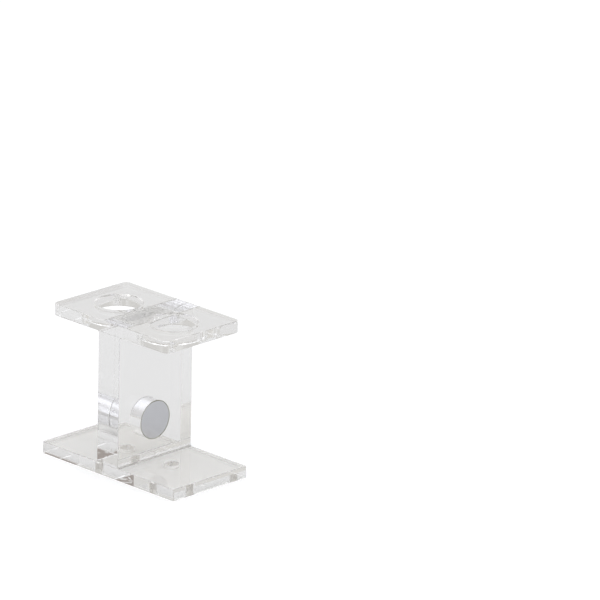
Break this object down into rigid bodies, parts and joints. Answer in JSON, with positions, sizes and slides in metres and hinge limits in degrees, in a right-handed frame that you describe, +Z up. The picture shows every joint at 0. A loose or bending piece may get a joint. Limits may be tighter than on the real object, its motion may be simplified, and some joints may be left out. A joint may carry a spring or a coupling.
{
  "type": "magnetic separation rack",
  "caption": "Clear acrylic bench stand that hangs microtubes on both sides of an upright with a disc magnet set in it.",
  "frame": {"origin": "centre of the base plate's underside", "axes": "+X along the row of the two tubes, +Y across the stand, +Z up"},
  "size_m": [0.0452, 0.0244, 0.039],
  "materials": {
    "clear_acrylic": "clear cast acrylic, polished faces",
    "nickel": "nickel plated magnet, satin face"
  },
  "bodies": {
    "root": {"base_plate": "clear_acrylic", "upright": "clear_acrylic", "top_plate": "clear_acrylic", "magnet": "nickel"}
  },
  "joints": []
}
